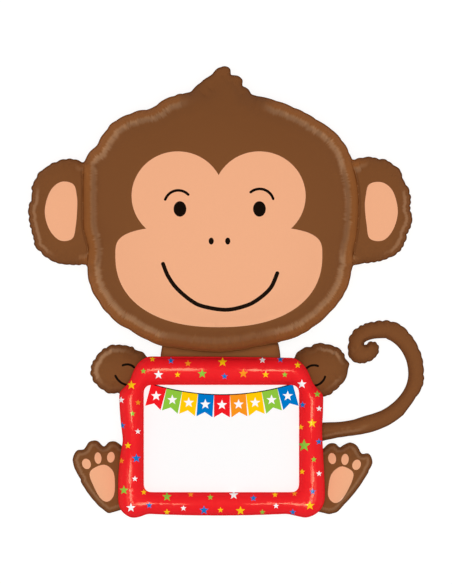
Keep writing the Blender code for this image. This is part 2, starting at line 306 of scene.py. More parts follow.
def nearestSeam(points, seams):
    # distance to the nearest seam, that point of it, its loop and its run along the loop
    joined = np.vstack(seams)
    after = np.concatenate([np.roll(np.arange(len(s)), -1) + o for s, o in seamStarts(seams)])
    before = np.empty_like(after)
    before[after] = np.arange(len(after))
    tree = searchTree(joined)
    index = np.array([tree.find((x, y, 0))[1] for x, y in points])
    best = np.full(len(points), 9.0)
    spot = np.zeros((len(points), 2))
    share = np.zeros(len(points))
    for other, sign in ((after[index], 1), (before[index], -1)):
        start, edge = joined[index], joined[other] - joined[index]
        t = np.clip(np.sum((points - start) * edge, 1) / np.maximum(np.sum(edge ** 2, 1), 1e-12), 0, 1)
        foot = start + edge * t[:, None]
        away = np.hypot(*(points - foot).T)
        better = away < best
        best[better], spot[better] = away[better], foot[better]
        share[better] = (sign * t * np.hypot(*edge.T))[better]
    return best, spot, index, share


def seamStarts(seams):
    start = 0
    for seam in seams:
        yield seam, start
        start += len(seam)


def layOut(seams, prints, creases):
    step = plan["edgeStep"] * mm
    tree = searchTree(np.vstack(seams))
    points = []
    for distance in plan["rows"]:
        for seam in seams:
            row = seam + leftNormals(seam) * distance * mm
            clear = [tree.find((x, y, 0))[2] > distance * mm * 0.94 for x, y in row]
            points.append(row[np.array(clear)])
    for line in creases:
        side = leftNormals(line)
        side[0], side[-1] = side[1], side[-2]
        nearCrease = searchTree(line)
        for distance in plan["creaseRows"]:
            for row in (line + side * distance * mm, line - side * distance * mm):
                clear = [nearCrease.find((x, y, 0))[2] > distance * mm * 0.9 for x, y in row]
                points.append(row[np.array(clear)])
    low, high = seams[0].min(0), seams[0].max(0)
    fill = []
    for spacing, nearest, farthest in (
        (plan["fine"], plan["rows"][-1], plan["fineReach"]),
        (plan["coarse"], plan["fineReach"], 1e6),
    ):
        grid = lattice(low, high, spacing * mm)
        away = np.array([tree.find((x, y, 0))[2] for x, y in grid]) / mm
        wanted = (away > nearest + spacing * 0.3) & (away < farthest + spacing * 0.3)
        wanted &= nearestCrease(grid, creases)[0] > (plan["creaseRows"][-1] + spacing * 0.3) * mm
        fill.append(grid[wanted])
    points = np.vstack(points + fill)
    inside = insideLoop(points, seams[0])
    for hole in seams[1:]:
        inside &= ~insideLoop(points, hole)
    points = points[inside]
    lines = [(loop, True) for _, loop in prints] + [(line, False) for line in creases]
    if lines:
        marks = searchTree(np.vstack([line for line, _ in lines]))
        clear = [marks.find((x, y, 0))[2] > plan["clear"] * mm for x, y in points]
        points = points[np.array(clear)]
    spots, edges = [], []
    for line, closed in [(seam, True) for seam in seams] + lines:
        start = sum(len(s) for s in spots)
        count = len(line)
        spots.append(line)
        edges += [(start + k, start + (k + 1) % count) for k in range(count if closed else count - 1)]
    everything = [Vector(p) for p in np.vstack(spots + [points])]
    spread, _, faces, *_ = geometry.delaunay_2d_cdt(everything, edges, [], 1, 1e-6)
    spread = np.array([tuple(v) for v in spread])
    faces = np.array([f for f in faces if len(f) == 3])
    middles = spread[faces].mean(1)
    keep = insideLoop(middles, seams[0])
    for hole in seams[1:]:
        keep &= ~insideLoop(middles, hole)
    faces, middles = faces[keep], middles[keep]
    used = np.unique(faces)
    renumber = np.full(len(spread), -1)
    renumber[used] = np.arange(len(used))
    return spread[used], renumber[faces], middles


def edgePairs(faces):
    pairs = np.sort(np.vstack([faces[:, [0, 1]], faces[:, [1, 2]], faces[:, [2, 0]]]), axis=1)
    return np.unique(pairs, axis=0, return_counts=True)


def settle(values, held, spread, pairs, rounds):  # even out, with the held points kept
    a, b = pairs[:, 0], pairs[:, 1]
    weight = 1 / np.maximum(np.hypot(*(spread[a] - spread[b]).T), 5e-4)
    count = len(values)
    whole = np.bincount(a, weight, count) + np.bincount(b, weight, count)
    for _ in range(rounds):
        near = np.bincount(a, weight * values[b], count) + np.bincount(b, weight * values[a], count)
        fresh = near / whole
        values = np.where(held, values, (values + fresh) / 2)
    return values


def castHeights(tree, points, fromAbove):
    start, direction = (1, Vector((0, 0, -1))) if fromAbove else (-1, Vector((0, 0, 1)))
    heights = np.full(len(points), np.nan)
    for k, (x, y) in enumerate(points):
        hit = tree.ray_cast(Vector((x, y, start)), direction)[0]
        if hit is not None:
            heights[k] = hit.z
    return heights


def nodeTree(node):
    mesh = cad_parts[node].data
    return BVHTree.FromPolygons([v.co[:] for v in mesh.vertices], [p.vertices[:] for p in mesh.polygons])


def nearestCrease(points, lines):  # distance, nearest point, and whether it's on the line's left
    best, foot = np.full(len(points), 9.0), np.zeros((len(points), 2))
    left = np.zeros(len(points), bool)
    for line in lines:
        for start, end in zip(line, line[1:]):
            edge = end - start
            t = np.clip((points - start) @ edge / (edge @ edge), 0, 1)
            at = start + t[:, None] * edge
            away = np.hypot(*(points - at).T)
            closer = away < best
            turn = edge[0] * (points[:, 1] - start[1]) - edge[1] * (points[:, 0] - start[0])
            best[closer], foot[closer], left[closer] = away[closer], at[closer], turn[closer] > 0
    return best, foot, left


def closedFilm(name, flat, rim, heights, prints, baseInk, vectors):
    # the front and the back sheet share their rim, and only the front is printed
    spread, faces, middles = flat
    front, back = heights
    backIndex = np.arange(len(spread))
    backIndex[~rim] = len(spread) + np.arange(int((~rim).sum()))
    coords = np.vstack([np.column_stack([spread, front]),
                        np.column_stack([spread[~rim], back[~rim]])])
    faces = np.where(loopSign(spread, faces)[:, None] > 0, faces, faces[:, ::-1])
    allFaces = np.vstack([faces, backIndex[faces][:, ::-1]])
    mesh = bpy.data.meshes.new(name)
    mesh.from_pydata(coords.tolist(), [], allFaces.tolist())
    ink = np.tile(np.array([*inks[baseInk], 1.0]), (len(allFaces), 1))
    for colour, loop in prints:
        ink[:len(faces)][insideLoop(middles, loop), :3] = inks[colour]
    layer = mesh.color_attributes.new("print", "FLOAT_COLOR", "CORNER")
    layer.data.foreach_set("color", np.repeat(ink, 3, axis=0).ravel().astype(np.float32))
    for title, values in vectors.items():
        values = np.vstack([values, values[~rim]]).astype(np.float32)
        mesh.attributes.new(title, "FLOAT_VECTOR", "POINT").data.foreach_set("vector", values.ravel())
    mesh.shade_smooth()
    piece = bpy.data.objects.new(name, mesh)
    scene.collection.objects.link(piece)
    print(f"{name}: {len(allFaces)} triangles, {len(prints)} printed shapes")
    return piece


def inflatedFilm(name, node, seams, prints, baseInk, seamHeight, areas, seed,
                 creases=(), creaseReach=(34.0, 3.0), under=(), rounds=40, flatBack=None):
    edges, pleats, totals = [], [], []
    for k, loop in enumerate(seams):
        nicked, found, total = gatherEdge(evenLoop(loop, plan["edgeStep"] * mm), areas, seed + k)
        edges.append(nicked)
        pleats.append(found)
        totals.append(total)
    spread, faces, middles = layOut(edges, prints, creases)
    pairs, uses = edgePairs(faces)
    rim = np.zeros(len(spread), bool)
    rim[np.unique(pairs[uses == 1])] = True
    distance, spot, index, share = nearestSeam(spread, edges)
    distance[rim] = 0
    creaseDistance, creaseSpot, swollen = nearestCrease(spread, creases)
    solid = nodeTree(node)
    seal = plan["seal"] * mm
    opened = np.clip((distance - seal) / np.maximum(distance, 1e-6), 0, 1)
    opened *= np.clip(creaseDistance / (np.where(swollen, *creaseReach) * mm), 0.55, 1)
    sink = np.zeros(len(spread))
    for k, (loop, start) in enumerate(seamStarts(edges)):
        mine = (index >= start) & (index < start + len(loop))
        lengths = np.hypot(*(np.roll(loop, -1, 0) - loop).T)
        runs = np.concatenate([[0], np.cumsum(lengths)])
        run = runs[index[mine] - start] + share[mine]
        scale = totals[k] / runs[-1]
        sink[mine] = furrows(run * scale, distance[mine], pleats[k], totals[k])
    heights = []
    for fromAbove in (True, False):
        side = 1 if fromAbove else -1
        swell = np.nan_to_num((castHeights(solid, spread, fromAbove) - seamHeight) * side, nan=0.0)
        squares = np.where(rim, 0, np.maximum(swell, 0) ** 2)
        squares = settle(squares, rim, spread, pairs, rounds) * opened
        lift = np.sqrt(squares)
        lift = np.maximum(lift - sink * np.clip(lift / 0.02, 0, 1), plan["sealHeight"] * mm)
        lift[rim] = 0
        heights.append(seamHeight + side * lift)
    front, back = heights
    for other in under:
        cover = castHeights(nodeTree(other), spread, False)
        front = np.fmin(front, np.where(np.isnan(cover), np.inf, cover - plan["coverGap"] * mm))
    if flatBack is not None:
        back = np.maximum(back, flatBack)
    front = np.maximum(front, np.where(rim, front, back + plan["sheetGap"] * mm))
    sheens = [np.array([ruleAt(areas if loop is edges[0] else areas[-1:], p)["sheen"] for p in loop], float)
              for loop in edges]
    sheens = np.vstack([calmLoop(values, plan["sheenRounds"]) for values in sheens])[index]
    folded = swollen & (creaseDistance < distance)
    spot[folded], distance[folded] = creaseSpot[folded], creaseDistance[folded]
    sheens[folded] = areas[-1]["sheen"]
    seamSpot = np.column_stack([spot, distance])
    sheen = np.column_stack([(distance / mm - sheens[:, 0]) / sheens[:, 1], sheens[:, 2:]])
    return closedFilm(name, (spread, faces, middles), rim, (front, back), prints, baseInk,
                      {"seamSpot": seamSpot, "sheen": sheen})


def loopSign(spread, faces):
    a, b, c = spread[faces[:, 0]], spread[faces[:, 1]], spread[faces[:, 2]]
    return np.sign((b[:, 0] - a[:, 0]) * (c[:, 1] - a[:, 1]) - (b[:, 1] - a[:, 1]) * (c[:, 0] - a[:, 0]))


# Node trees for what repeats: the printed stars and the row of pennants

starShape = {"tips": 5, "waist": 0.42}   # the waist as a share of the reach


def addInput(tree, name, kind, value=None):
    socket = tree.interface.new_socket(name=name, in_out="INPUT", socket_type=kind)
    if value is not None:
        socket.default_value = value
    return socket.identifier


def linkNodes(tree, *pairs):
    for (a, outName), (b, inName) in pairs:
        tree.links.new(a.outputs[outName], b.inputs[inName])


def setInputs(node, values):
    for key, value in values.items():
        node.inputs[key].default_value = value


def emptyTree(name):
    tree = bpy.data.node_groups.new(name, "GeometryNodeTree")
    for way in ("INPUT", "OUTPUT"):
        tree.interface.new_socket(name="Geometry", in_out=way, socket_type="NodeSocketGeometry")
    return tree


def starTree():
    tree = emptyTree("printedStars")
    sockets = {
        "Tips": addInput(tree, "Tips", "NodeSocketInt", starShape["tips"]),
        "Waist": addInput(tree, "Waist", "NodeSocketFloat", starShape["waist"]),
        "Film": addInput(tree, "Film", "NodeSocketMaterial"),
    }
    new = tree.nodes.new
    inlet, outlet = new("NodeGroupInput"), new("NodeGroupOutput")
    star, fill = new("GeometryNodeCurveStar"), new("GeometryNodeFillCurve")
    turn, place = new("GeometryNodeTransform"), new("GeometryNodeInstanceOnPoints")
    reach, real, paint = new("GeometryNodeInputNamedAttribute"), new("GeometryNodeRealizeInstances"), new(
        "GeometryNodeSetMaterial")
    star.inputs["Outer Radius"].default_value = 1
    star.inputs["Twist"].default_value = 0
    turn.inputs["Rotation"].default_value = (0, 0, math.radians(90))
    fill.mode = "NGONS"
    reach.data_type = "FLOAT"
    reach.inputs["Name"].default_value = "reach"
    linkNodes(tree, ((inlet, "Tips"), (star, "Points")), ((inlet, "Waist"), (star, "Inner Radius")),
              ((star, "Curve"), (fill, "Curve")), ((fill, "Mesh"), (turn, "Geometry")),
              ((inlet, "Geometry"), (place, "Points")), ((turn, "Geometry"), (place, "Instance")),
              ((reach, "Attribute"), (place, "Scale")), ((place, "Instances"), (real, "Geometry")),
              ((real, "Geometry"), (paint, "Geometry")), ((inlet, "Film"), (paint, "Material")),
              ((paint, "Geometry"), (outlet, "Geometry")))
    return tree, sockets


def pennantTree():
    tree = emptyTree("pennantRow")
    sockets = {
        "Count": addInput(tree, "Count", "NodeSocketInt", 9),
        "Margin": addInput(tree, "Margin", "NodeSocketFloat", 0.06),
        "Pennant": addInput(tree, "Pennant", "NodeSocketObject"),
        "Film": addInput(tree, "Film", "NodeSocketMaterial"),
    }
    new = tree.nodes.new
    inlet, outlet = new("NodeGroupInput"), new("NodeGroupOutput")
    string, trim, dots = new("GeometryNodeMeshToCurve"), new("GeometryNodeTrimCurve"), new(
        "GeometryNodeCurveToPoints")
    aim, piece = new("FunctionNodeAlignRotationToVector"), new("GeometryNodeObjectInfo")
    place, real, paint = new("GeometryNodeInstanceOnPoints"), new("GeometryNodeRealizeInstances"), new(
        "GeometryNodeSetMaterial")
    rest = new("ShaderNodeMath")
    rest.operation = "SUBTRACT"
    rest.inputs[0].default_value = 1
    trim.mode = "FACTOR"
    dots.mode = "COUNT"
    aim.axis = "X"
    tree.links.new(inlet.outputs["Margin"], rest.inputs[1])
    tree.links.new(rest.outputs[0], trim.inputs["End"])
    linkNodes(tree, ((inlet, "Geometry"), (string, "Mesh")), ((string, "Curve"), (trim, "Curve")),
              ((inlet, "Margin"), (trim, "Start")), ((trim, "Curve"), (dots, "Curve")),
              ((inlet, "Count"), (dots, "Count")), ((dots, "Tangent"), (aim, "Vector")),
              ((inlet, "Pennant"), (piece, "Object")), ((dots, "Points"), (place, "Points")),
              ((piece, "Geometry"), (place, "Instance")), ((aim, "Rotation"), (place, "Rotation")),
              ((place, "Instances"), (real, "Geometry")), ((real, "Geometry"), (paint, "Geometry")),
              ((inlet, "Film"), (paint, "Material")), ((paint, "Geometry"), (outlet, "Geometry")))
    return tree, sockets


def grownLoops(name, mesh, tree, sockets, values):
    # runs a tree on a mesh and gives each face of the plain result as a loop
    base = bpy.data.objects.new(name, mesh)
    scene.collection.objects.link(base)
    step = base.modifiers.new("grow", "NODES")
    step.node_group = tree
    for key, value in values.items():
        step[sockets[key]] = value
    grown = bpy.data.meshes.new_from_object(base.evaluated_get(bpy.context.evaluated_depsgraph_get()))
    base.modifiers.remove(step)
    coords = np.array([v.co.xy[:] for v in grown.vertices])
    loops = [coords[list(face.vertices)] for face in grown.polygons]
    bpy.data.objects.remove(base, do_unlink=True)
    bpy.data.meshes.remove(grown)
    return loops


def starLoops(name, stars, tree, sockets, film):  # stars as (x, y, reach) in mm
    mesh = bpy.data.meshes.new(name)
    mesh.from_pydata([(x * mm, y * mm, 0) for x, y, _ in stars], [], [])
    reach = mesh.attributes.new("reach", "FLOAT", "POINT")
    reach.data.foreach_set("value", [size * mm for _, _, size in stars])
    return grownLoops(name, mesh, tree, sockets, {
        "Tips": starShape["tips"], "Waist": starShape["waist"], "Film": film})


# Film materials


crimpShape = {
    "drift": 0.12,                        # how slowly the crimps change away from the seam
    "roughness": 0.55,
    "fade": (0, 1, 1, 0),                 # ranges as from and to, with distances in metres
    "margin": (0.0006, 1, 1, 0),
    "band": (0.012, 1, 1, 0),
    "cut": (0.003, 0.009, 0, 1),
    "comb": (0.45, 0.60, 0.8, 2.8),       # how deep the crimps comb the sheen, by place
    "rise": (-1.3, -0.3, 0, 1),           # the sheen's two sides, in its half widths
    "fall": (0.2, 1.5, 1, 0),
    "teeth": 300,
    "patches": 16,
}


def crimpGroup():
    # fine crimps that run inwards from a seam, and masks worked out from the distance to it
    group = bpy.data.node_groups.new("filmCrimps", "ShaderNodeTree")
    for name, value in (("Pitch", 0.009), ("Reach", 0.03), ("Seal", 0.0034)):
        addInput(group, name, "NodeSocketFloat", value)
    for name in ("Crimps", "Margin", "PaintedRimLight", "Sheen"):
        group.interface.new_socket(name=name, in_out="OUTPUT", socket_type="NodeSocketFloat")
    new = group.nodes.new
    inlet, outlet = new("NodeGroupInput"), new("NodeGroupOutput")
    spot, sheen = new("ShaderNodeAttribute"), new("ShaderNodeAttribute")
    spot.attribute_name, sheen.attribute_name = "seamSpot", "sheen"
    parts, where = new("ShaderNodeSeparateXYZ"), new("ShaderNodeSeparateXYZ")
    squash, flat = new("ShaderNodeCombineXYZ"), new("ShaderNodeCombineXYZ")
    noise, teeth, patches = (new("ShaderNodeTexNoise") for _ in range(3))
    setInputs(noise, {"Detail": 2, "Roughness": crimpShape["roughness"]})
    setInputs(teeth, {"Scale": crimpShape["teeth"]})
    setInputs(patches, {"Scale": crimpShape["patches"]})
    slow, product, both, combed, inner, level, rimLightLevel = (new("ShaderNodeMath") for _ in range(7))
    for node in (slow, product, both, combed, inner, level, rimLightLevel):
        node.operation = "MULTIPLY"
    fine, centred, shifted = (new("ShaderNodeMath") for _ in range(3))
    fine.operation, centred.operation, shifted.operation = "DIVIDE", "SUBTRACT", "ADD"
    setInputs(slow, {1: crimpShape["drift"]})
    setInputs(fine, {0: 1})
    setInputs(centred, {1: 0.5})
    # the far ends of fade, margin and band come from the group's inputs; the band gives painted light
    # near the seam, the margin painted shade
    fade, margin, band, cut, depth, rise, fall = (new("ShaderNodeMapRange") for _ in range(7))
    for node, name in ((fade, "fade"), (margin, "margin"), (band, "band"), (cut, "cut"),
                       (depth, "comb"), (rise, "rise"), (fall, "fall")):
        node.interpolation_type = "SMOOTHSTEP"
        setInputs(node, dict(zip(("From Min", "From Max", "To Min", "To Max"), crimpShape[name])))
    linkNodes(group, ((spot, "Vector"), (parts, 0)), ((parts, "X"), (squash, "X")),
              ((parts, "Y"), (squash, "Y")), ((parts, "Z"), (slow, 0)),
              ((slow, 0), (squash, "Z")), ((inlet, "Pitch"), (fine, 1)),
              ((fine, 0), (noise, "Scale")), ((squash, 0), (noise, "Vector")))
    linkNodes(group, *(((parts, "Z"), (node, "Value")) for node in (fade, margin, band, cut)))
    linkNodes(group, ((inlet, "Reach"), (fade, "From Max")), ((inlet, "Seal"), (margin, "From Max")),
              ((inlet, "Reach"), (band, "From Max")), ((fade, 0), (product, 0)),
              ((cut, 0), (product, 1)), ((product, 0), (both, 0)), ((noise, "Fac"), (both, 1)),
              ((both, 0), (outlet, "Crimps")), ((margin, 0), (outlet, "Margin")))
    # the sheen is a line at its own distance from the seam, combed by the crimps in places; it weights
    # the coat and a painted highlight
    linkNodes(group, ((parts, "X"), (flat, "X")), ((parts, "Y"), (flat, "Y")),
              ((flat, 0), (teeth, "Vector")), ((flat, 0), (patches, "Vector")),
              ((teeth, "Fac"), (centred, 0)), ((patches, "Fac"), (depth, "Value")),
              ((centred, 0), (combed, 0)), ((depth, 0), (combed, 1)),
              ((sheen, "Vector"), (where, 0)), ((where, "X"), (shifted, 0)),
              ((combed, 0), (shifted, 1)), ((shifted, 0), (rise, "Value")),
              ((shifted, 0), (fall, "Value")), ((rise, 0), (inner, 0)), ((fall, 0), (inner, 1)),
              ((inner, 0), (level, 0)), ((where, "Y"), (level, 1)),
              ((level, 0), (outlet, "Sheen")), ((band, 0), (rimLightLevel, 0)),
              ((where, "Z"), (rimLightLevel, 1)), ((rimLightLevel, 0), (outlet, "PaintedRimLight")))
    return group


def filmMaterial(name, group, look):
    material = bpy.data.materials.new(name)
    material.use_nodes = True
    tree = material.node_tree
    new = tree.nodes.new
    shader = tree.nodes["Principled BSDF"]
    setInputs(shader, {"Metallic": 0, "IOR": 1.5, "Specular IOR Level": look["shine"],
                       "Roughness": look["matt"], "Coat Roughness": look["gloss"]})
    ink = new("ShaderNodeAttribute")
    ink.attribute_name = "print"
    crimps = new("ShaderNodeGroup")
    crimps.node_tree = group
    setInputs(crimps, {"Pitch": look["crimpPitch"] * mm, "Reach": look["bandReach"] * mm,
                       "Seal": look["sealShade"] * mm})
    place, grain = new("ShaderNodeTexCoord"), new("ShaderNodeTexNoise")
    setInputs(grain, {"Scale": look["grainScale"], "Detail": 3})
    # ink a little uneven; painted light makes it paler and warmer along the seam, a painted highlight
    # pales it in the sheen, and painted shade darkens it along the sealed margin and the creases
    uneven, warmLight, paleLight, paintedEdgeShade = (new("ShaderNodeMix") for _ in range(4))
    for node, tint in ((uneven, (0.6, 0.6, 0.6)), (warmLight, look["paintedRimLightTint"]),
                       (paleLight, look["paintedSheenTint"]), (paintedEdgeShade, look["paintedSealShadeTint"])):
        node.data_type = "RGBA"
        node.blend_type = "MULTIPLY"
        setInputs(node, {"B": (*tint, 1)})
    spread, coat, bump = new("ShaderNodeMapRange"), new("ShaderNodeMath"), new("ShaderNodeBump")
    setInputs(spread, {"To Min": 0, "To Max": look["unevenness"]})
    coat.operation = "MULTIPLY"
    setInputs(coat, {1: look["coat"]})
    setInputs(bump, {"Strength": look["crimpStrength"], "Distance": look["crimpHeight"] * mm})
    linkNodes(tree, ((place, "Object"), (grain, "Vector")), ((grain, "Fac"), (spread, "Value")),
              ((spread, 0), (uneven, "Factor")), ((ink, "Color"), (uneven, "A")),
              ((crimps, "PaintedRimLight"), (warmLight, "Factor")), ((uneven, "Result"), (warmLight, "A")),
              ((crimps, "Sheen"), (paleLight, "Factor")), ((warmLight, "Result"), (paleLight, "A")),
              ((crimps, "Margin"), (paintedEdgeShade, "Factor")), ((paleLight, "Result"), (paintedEdgeShade, "A")),
              ((paintedEdgeShade, "Result"), (shader, "Base Color")), ((crimps, "Sheen"), (coat, 0)),
              ((coat, 0), (shader, "Coat Weight")), ((crimps, "Crimps"), (bump, "Height")),
              ((bump, 0), (shader, "Normal")))
    return material


crimps = crimpGroup()
brownLook = {
    "shine": 0.03, "crimpPitch": 8, "bandReach": 26, "sealShade": 4.6, "grainScale": 260,
    # the tints: painted light, paler and warmer near the seam; painted shade along the sealed margin and
    # the creases
    "unevenness": 0.10, "paintedRimLightTint": (1.45, 1.42, 1.25), "paintedSealShadeTint": (0.52, 0.43, 0.34),
    # a painted highlight pales the film in the sheen, where the coat shines too
    "paintedSheenTint": (1.5, 2.05, 3.1), "coat": 0.6,
    "matt": 0.75, "gloss": 0.22, "crimpStrength": 0.9, "crimpHeight": 1.3,
}
redLook = {
    "shine": 0.03, "crimpPitch": 6, "bandReach": 60, "sealShade": 5.0, "grainScale": 260,
    # painted shade darkens the frame's sealed edges
    "unevenness": 0.05, "paintedRimLightTint": (1.0, 0.95, 0.95), "paintedSealShadeTint": (0.75, 0.6, 0.6),
    "paintedSheenTint": (1.0, 1.0, 1.0), "coat": 1.0,
    "matt": 0.6, "gloss": 0.18, "crimpStrength": 0.8, "crimpHeight": 0.4,
}
whiteLook = {
    "shine": 0.0, "crimpPitch": 9, "bandReach": 10, "sealShade": 1.0, "grainScale": 180,
    "unevenness": 0.02, "paintedRimLightTint": (1.0, 1.0, 1.0), "paintedSealShadeTint": (1.0, 1.0, 1.0),
    "paintedSheenTint": (1.0, 1.0, 1.0), "coat": 0.0,
    "matt": 0.42, "gloss": 0.42, "crimpStrength": 0.2, "crimpHeight": 0.3,
}
brownFilm = filmMaterial("brownFilm", crimps, brownLook)
redFilm = filmMaterial("redFilm", crimps, redLook)
whiteFilm = filmMaterial("whiteFilm", crimps, whiteLook)
stars, starSockets = starTree()
pennants, pennantSockets = pennantTree()
print("materials and trees made")

# Head with its ears

head = {
    "seam": 0.140,
    "lobe": {"left": (-107, 214), "right": (76, 214), "half": (103.5, 100)},
    "muzzle": {"at": (-15, 82), "half": (232, 162), "power": 2.3,
               "upperHalf": (232, 65.5), "upperPower": 3.4},
    "bridge": ((-15, 152), (60, 40)),
    "eyes": ((-102, 185), (76, 185)), "eyeHalf": (14.3, 17.4),
    "nostrils": ((-32, 113), (5, 113)), "nostrilHalf": (5.8, 7.8),
    "brows": (((165.5, 199.9), (178.5, 190.8), (188.4, 195)),   # pixels of the photo
              ((250.6, 192.6), (260.7, 189.4), (273, 199.2))),
    "browWidth": 6.0,
    "smile": [(-140, 62), (-129, 35), (-110, 8), (-79, -19), (-51, -33), (0, -41), (42, -33),
              (71, -19), (101, 8), (116, 41)],
    "smileWidth": 9.0,
    "leftEar": [(-342, 241), (-334, 215), (-333, 189), (-336, 150), (-344, 119), (-372, 115),
                (-396, 140), (-406, 181), (-394, 225), (-370, 246)],
    "rightEar": [(323, 241), (315, 215), (313, 189), (317, 150), (324, 119), (354, 115),
                 (377, 140), (387, 181), (376, 225), (352, 245)],
    "creases": [
        [(-320, 288), (-321, 243), (-321, 191), (-320, 145), (-314, 117), (-309, 95), (-312, 62)],
        [(287, 62), (288, 90), (296, 130), (300, 191), (297, 240), (284, 293)],
    ],
}
outerEar, wholeEar = ((10, 22), 3.6, 1.2, 7), ((12, 24), 2.6, 0.8, 7)
skinAreas = [
    stretch((-432, 150), 78, outerEar, (13, 4, 0.65, 0)),
    stretch((405, 150), 78, outerEar, (13, 4, 0.65, 0)),
    stretch((-370, 176), 127, wholeEar, (13, 4, 0, 0)),
    stretch((345, 176), 131, wholeEar, (13, 4, 0, 0)),
    stretch((0, 440), 100, ((18, 34), 1.6, 0.6, 7), (20, 9, 0, 0)),              # tuft
    stretch((-15, -140), 130, ((18, 44), 1.6, 2.2, 11), (26, 8, 0.25, 0.5)),     # chin
    stretch((0, 0), None, ((24, 56), 2.0, 2.0, 11), (24, 7.5, 0.75, 1)),
]


def facePrint():
    lobe, muzzle = head["lobe"], head["muzzle"]
    lower = ovalLoop(muzzle["at"], muzzle["half"], power=muzzle["power"])
    upper = ovalLoop(muzzle["at"], muzzle["upperHalf"], power=muzzle["upperPower"])
    middle = muzzle["at"][1] * mm
    patch = np.vstack([lower[lower[:, 1] < middle - 1e-6], upper[upper[:, 1] >= middle - 1e-6]])
    patch = patch[np.argsort(np.arctan2(patch[:, 1] - middle, patch[:, 0] - muzzle["at"][0] * mm))]
    prints = [("peach", ovalLoop(lobe[side], lobe["half"])) for side in ("left", "right")]
    prints += [("peach", patch), ("peach", ovalLoop(*head["bridge"]))]
    prints += [("peach", smoothLine(head[ear], 6, closed=True) * mm) for ear in ("leftEar", "rightEar")]
    prints += [("black", ovalLoop(eye, head["eyeHalf"])) for eye in head["eyes"]]
    prints += [("black", ovalLoop(n, head["nostrilHalf"], step=2)) for n in head["nostrils"]]
    for brow in head["brows"]:
        prints.append(("black", strokeLoop(arcLine(*arcThrough(brow)), head["browWidth"])))
    prints.append(("black", strokeLoop(smoothLine(head["smile"], 8), head["smileWidth"])))
    return prints


headFilm = inflatedFilm("headFilm", "head_balloon", calmSeams("head_balloon", head["seam"], 1, 5),
                        facePrint(), "brown", head["seam"], skinAreas, seed=11,
                        creases=[smoothLine(line, 5) * mm for line in head["creases"]],
                        rounds=60, flatBack=0.0)
headFilm.data.materials.append(brownFilm)
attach(headFilm, "root")
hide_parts("head_balloon")

# Body: neck, hands, feet and tail

body = {
    "seam": 0.060,
    "fingers": (((122.7, 365.4), (127.6, 364.4), (134.1, 367.3)),   # pixels of the photo
                ((115.4, 375.8), (119.8, 381.6), (126.1, 384.8)),
                ((306.4, 368.4), (313, 365.3), (318, 366)),
                ((313.4, 385.7), (320.2, 383.5), (325.1, 376.7))),
    "neck": [(-152, -170), (128, -170), (128, -120), (-152, -120)],
    "tail": [(399, -278), (441, -218), (446, -175), (436, -130), (407, -86), (370, -66), (320, -71),
             (289, -88), (277, -112), (278, -145), (295, -160), (324, -158), (345, -136), (341, -117),
             (326, -113), (312, -122), (318, -111), (336, -105), (363, -104)],
    "leftToes": [(-234, -349), (-247, -339), (-262, -340), (-274, -350), (-290, -337), (-307, -340),
                 (-318, -356), (-334, -359), (-343, -377), (-338, -400), (-325, -423)],
    "rightToes": [(322, -403), (330, -384), (322, -366), (306, -366), (296, -349), (282, -341),
                  (267, -346), (257, -352), (246, -343), (233, -344), (220, -355)],
    "fingerWidth": 5.0,
    "toes": (((-313, -388), (9.7, 11.8), 20), ((-287, -375), (7.8, 12.9), 5),
             ((-258, -373), (8.5, 12.0), -8), ((240, -376), (8.9, 12.4), 8),
             ((269, -378), (8.3, 12.5), -5), ((295, -390), (9.5, 11.8), -20)),
    "soles": ([(-272, -390), (-297, -398), (-306, -412), (-296, -440), (-281, -466), (-265, -473),
               (-252, -460), (-249, -434), (-253, -405)],
              [(259, -394), (281, -401), (288, -414), (279, -440), (262, -468), (246, -476),
               (233, -465), (231, -446), (238, -412)]),
}
hand = ((12, 24), 3.4, 0.8, 7)
foot = ((14, 26), 0.6, 0.6, 6)
limbAreas = [
    stretch((318, -150), 42, ((9, 17), 3.2, 0.6, 5), (10, 5, 0, 0)),     # tip of the tail
    stretch((345, -185), 84, ((18, 34), 0.2, 0.4, 5), (10, 5, 0, 0)),    # its inner curve
    stretch((330, -95), 66, ((12, 24), 3.2, 0.6, 5), (10, 5, 0, 0)),     # its top
    stretch((-290, -140), 66, hand, (12, 5, 1, 0)),
    stretch((265, -150), 66, hand, (13, 4, 1, 0)),
    stretch((-262, -190), 88, hand, (12, 4, 0.1, 0)),
    stretch((240, -190), 88, hand, (13, 4, 0.1, 0)),
    stretch((-270, -415), 110, foot, (10, 3.5, 0.5, 0)),
    stretch((255, -415), 110, foot, (10, 3.5, 0.5, 0)),
    stretch((400, -150), 110, ((14, 28), 3.0, 0.6, 5), (10, 5, 0, 0)),   # outer side of the tail
    stretch((0, 0), None, ((24, 50), 0.4, 0.8, 7), (15, 5, 0, 0)),
]


def bodyPrint():
    prints = [("black", strokeLoop(arcLine(*arcThrough(finger), step=2), body["fingerWidth"]))
              for finger in body["fingers"]]
    prints += [("peach", ovalLoop(at, half, turn, step=2)) for at, half, turn in body["toes"]]
    # the neck is printed in a paler brown: painted light against the shade between the head and the frame
    prints.append(("paintedNeckLight", np.array(body["neck"]) * mm))
    return prints + [("peach", smoothLine(sole, 5, closed=True) * mm) for sole in body["soles"]]


bodyOutline = calmSeams("body_balloon", body["seam"], 1, 3)[0]
for part in ("tail", "leftToes", "rightToes"):
    bodyOutline = swapStretch(bodyOutline, smoothLine(body[part], 5) * mm)
bodyFilm = inflatedFilm("bodyFilm", "body_balloon", [bodyOutline], bodyPrint(), "brown", body["seam"],
                        limbAreas, seed=23, under=("frame_balloon", "head_balloon"),
                        rounds=14, flatBack=0.0)
bodyFilm.data.materials.append(brownFilm)
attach(bodyFilm, "root")
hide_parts("body_balloon")
